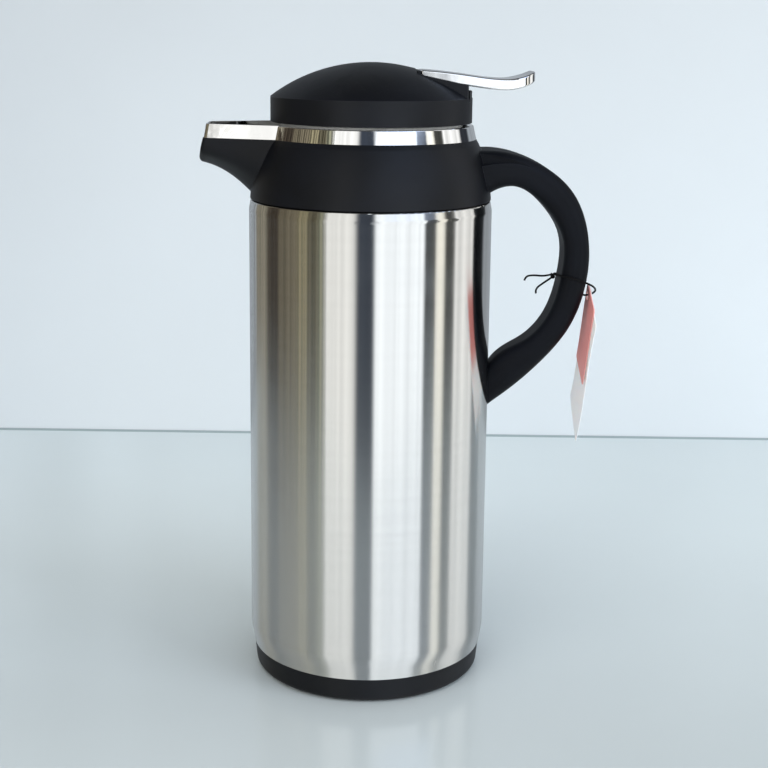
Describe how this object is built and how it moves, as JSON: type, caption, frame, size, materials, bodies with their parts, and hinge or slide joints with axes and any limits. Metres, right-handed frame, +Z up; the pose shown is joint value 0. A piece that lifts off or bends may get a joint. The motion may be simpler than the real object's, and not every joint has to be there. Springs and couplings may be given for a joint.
{
  "type": "vacuum jug",
  "caption": "Tall steel-cased vacuum serving jug with a spout, a loop handle and a lift-out lid whose thumb lever opens the pouring valve.",
  "frame": {"origin": "centre of the base, on the surface the jug stands on", "axes": "+Z up along the body's axis, +X towards the handle, -X towards the spout, +Y to the left of someone who looks along +X"},
  "size_m": [0.2045, 0.124, 0.318],
  "materials": {
    "steel": "fine circumferential brushing, satin",
    "black_plastic": "moulded, slightly satin",
    "chrome": "bright plating over moulded plastic",
    "glass": "silvered vacuum glass",
    "rubber": "matt",
    "silicone": "translucent white silicone",
    "white_plastic": "natural moulded plastic",
    "stainless": "turned stainless steel",
    "string": "thin elastic cord, black",
    "red_card": "coated card, salmon red",
    "white_card": "coated card"
  },
  "bodies": {
    "jug": {"outer_casing": "steel", "base_ring": "black_plastic", "foot_ring": "rubber", "base_cap": "black_plastic", "bottle_cushion": "rubber", "bottle_outer_wall": "glass", "bottle_inner_wall": "glass", "neck_seal": "silicone", "collar": "black_plastic", "pour_bowl": "black_plastic", "trim_ring": "chrome", "handle": "black_plastic", "handle_screws": "stainless", "tag_string": "string", "string_knot": "string"},
    "lid": {"lid_shell": "black_plastic", "lid_plug": "white_plastic", "plug_gasket": "silicone", "lid_screws": "stainless", "lever_pin": "stainless"},
    "lever_unit": {"lever": "chrome", "rocker": "black_plastic"},
    "valve": {"valve_stem": "white_plastic", "valve_disc": "white_plastic", "valve_seal": "silicone", "valve_spring": "stainless"},
    "tags": {"red_card": "red_card", "white_card": "white_card"}
  },
  "joints": [
    {"name": "lid_lift", "type": "slide", "parent": "jug", "child": "lid", "axis": [0, 0, 1], "range_m": [0, 0.09]},
    {"name": "lever_press", "type": "hinge", "parent": "lid", "child": "lever_unit", "pos_m": [0.038, 0, 0.3035], "axis": [0, 1, 0], "range_deg": [0, 8], "stiffness_Nm_per_rad": 0.9, "springref_deg": -6.88},
    {"name": "valve_lift", "type": "slide", "parent": "lid", "child": "valve", "axis": [0, 0, 1], "range_m": [0, 0.0055], "deforming": ["valve_spring"]},
    {"name": "tag_swing", "type": "hinge", "parent": "jug", "child": "tags", "pos_m": [0.1136, 0, 0.1994], "axis": [0, 1, 0], "range_deg": [-10, 12]}
  ],
  "couplings": [
    {"joint": "valve_lift", "follows": "lever_press", "m_per_rad": 0.038}
  ]
}
